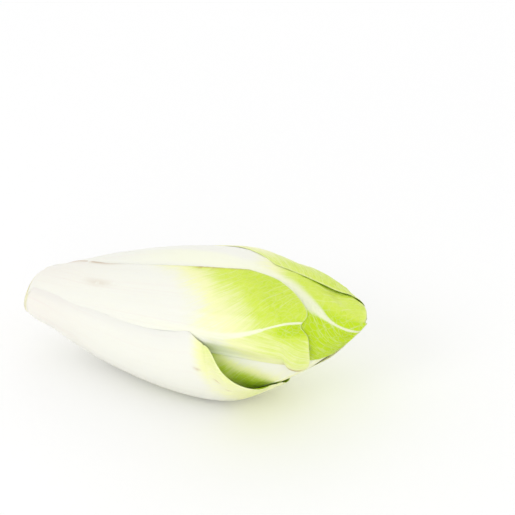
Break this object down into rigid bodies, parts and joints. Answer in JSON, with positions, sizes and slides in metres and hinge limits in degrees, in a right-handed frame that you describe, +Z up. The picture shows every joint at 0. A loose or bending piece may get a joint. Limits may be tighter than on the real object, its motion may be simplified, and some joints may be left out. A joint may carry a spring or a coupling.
{
  "type": "belgian endive",
  "caption": "Head of Belgian endive lying on its side: pale, pointed, overlapping cupped leaves round a short stem, cut slantwise at the base.",
  "frame": {"origin": "under the middle of the head's bounding box, on the surface that it lies on", "axes": "+X along the head from the cut base to the leaf tips, +Z up"},
  "size_m": [0.154, 0.0742, 0.0639],
  "materials": {
    "stem": "moist cut flesh",
    "outer_leaf": "waxy satin",
    "inner_leaf": "waxy satin"
  },
  "bodies": {
    "root": {"stem": "stem", "outer_leaf_1": "outer_leaf", "outer_leaf_2": "outer_leaf", "outer_leaf_3": "outer_leaf", "outer_leaf_4": "outer_leaf", "outer_leaf_5": "outer_leaf", "outer_leaf_6": "outer_leaf", "inner_leaf_1": "inner_leaf", "inner_leaf_2": "inner_leaf", "inner_leaf_3": "inner_leaf", "inner_leaf_4": "inner_leaf", "inner_leaf_5": "inner_leaf", "inner_leaf_6": "inner_leaf", "inner_leaf_7": "inner_leaf", "inner_leaf_8": "inner_leaf"}
  },
  "joints": []
}
